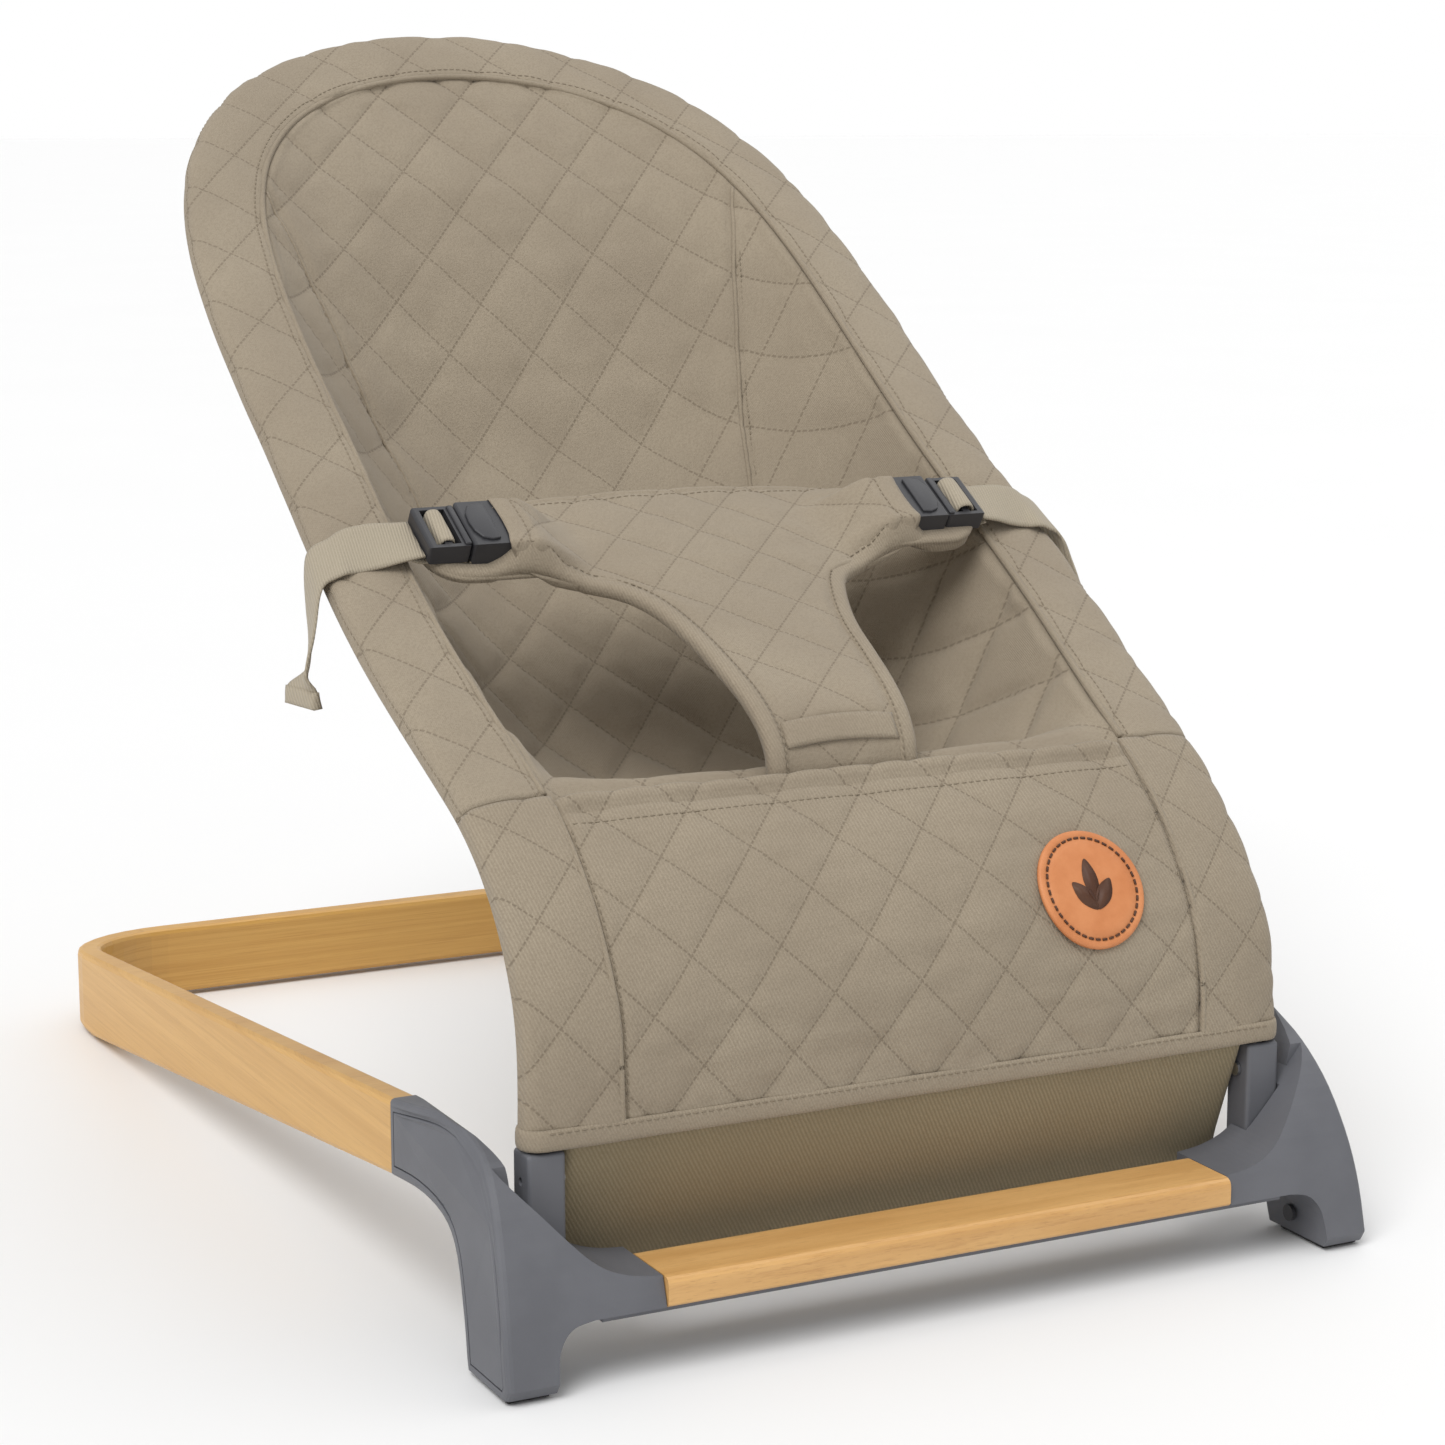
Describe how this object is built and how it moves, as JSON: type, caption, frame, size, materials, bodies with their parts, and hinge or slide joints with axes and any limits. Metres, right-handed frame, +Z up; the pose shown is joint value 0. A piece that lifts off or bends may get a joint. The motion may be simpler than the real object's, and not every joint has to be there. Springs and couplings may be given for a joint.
{
  "type": "bouncer seat",
  "caption": "Baby bouncer seat: a quilted cloth seat on a springy tube hoop, with a clip-in bib, held by moulded feet on a bent-wood rail and crossbar.",
  "frame": {"origin": "middle of the footprint, on the floor", "axes": "+X across the seat, +Y from the front crossbar towards the head end, +Z up"},
  "size_m": [0.4, 0.6306, 0.5162],
  "materials": {
    "beech": "clear lacquered beech plywood",
    "grey_plastic": "fine-grained moulded plastic",
    "pad_rubber": "anti-slip rubber",
    "steel": "plated steel",
    "black_plastic": "moulded buckle plastic",
    "apron_twill": "plain twill cloth",
    "quilted_cloth": "quilted cotton cloth over thin wadding",
    "webbing": "woven webbing and tape",
    "badge_leather": "smooth vegetable-tanned leather"
  },
  "bodies": {
    "base": {"rear_rail": "beech", "front_crossbar": "beech", "crossbar_underplate": "grey_plastic", "left_foot_shell": "grey_plastic", "right_foot_shell": "grey_plastic", "left_foot_cover": "grey_plastic", "right_foot_cover": "grey_plastic", "left_foot_pad": "pad_rubber", "right_foot_pad": "pad_rubber", "left_rear_pad": "pad_rubber", "right_rear_pad": "pad_rubber", "left_foot_screw": "steel", "right_foot_screw": "steel", "left_pivot_pin": "steel", "right_pivot_pin": "steel"},
    "hub_frame": {"left_hub": "grey_plastic", "right_hub": "grey_plastic", "left_hub_rivet": "steel", "right_hub_rivet": "steel", "left_lock_spring": "steel", "right_lock_spring": "steel", "hub_cross_tube": "steel", "front_apron": "apron_twill"},
    "seat": {"seat_hoop": "steel", "seat_border": "quilted_cloth", "left_flap_side": "quilted_cloth", "right_flap_side": "quilted_cloth", "front_flap": "quilted_cloth", "flap_hem": "webbing", "seat_back_panel": "quilted_cloth", "bib_panel": "quilted_cloth", "flap_badge": "badge_leather", "left_buckle_female": "black_plastic", "right_buckle_female": "black_plastic"},
    "left_button": {"left_lock_button": "black_plastic"},
    "right_button": {"right_lock_button": "black_plastic"},
    "left_strap": {"left_buckle_male": "black_plastic", "left_side_strap": "webbing"},
    "right_strap": {"right_buckle_male": "black_plastic", "right_side_strap": "webbing"}
  },
  "joints": [
    {"name": "seat_recline", "type": "hinge", "parent": "base", "child": "hub_frame", "pos_m": [0, -0.27315, 0.042], "axis": [1, 0, 0], "range_deg": [-35, 0]},
    {"name": "seat_bounce", "type": "hinge", "parent": "hub_frame", "child": "seat", "pos_m": [0, -0.27315, 0.073], "axis": [1, 0, 0], "range_deg": [-3, 3], "stiffness_Nm_per_rad": 150, "springref_deg": 1.43},
    {"name": "left_lock_press", "type": "slide", "parent": "hub_frame", "child": "left_button", "axis": [0, -1, 0], "range_m": [0, 0.002], "stiffness_N_per_m": 800, "springref_m": -0.002, "deforming": ["left_lock_spring"]},
    {"name": "right_lock_press", "type": "slide", "parent": "hub_frame", "child": "right_button", "axis": [0, -1, 0], "range_m": [0, 0.002], "stiffness_N_per_m": 800, "springref_m": -0.002, "deforming": ["right_lock_spring"]},
    {"name": "left_strap_clip", "type": "slide", "parent": "seat", "child": "left_strap", "axis": [-1, 0, 0], "range_m": [0, 0.014]},
    {"name": "right_strap_clip", "type": "slide", "parent": "seat", "child": "right_strap", "axis": [1, 0, 0], "range_m": [0, 0.014]}
  ]
}
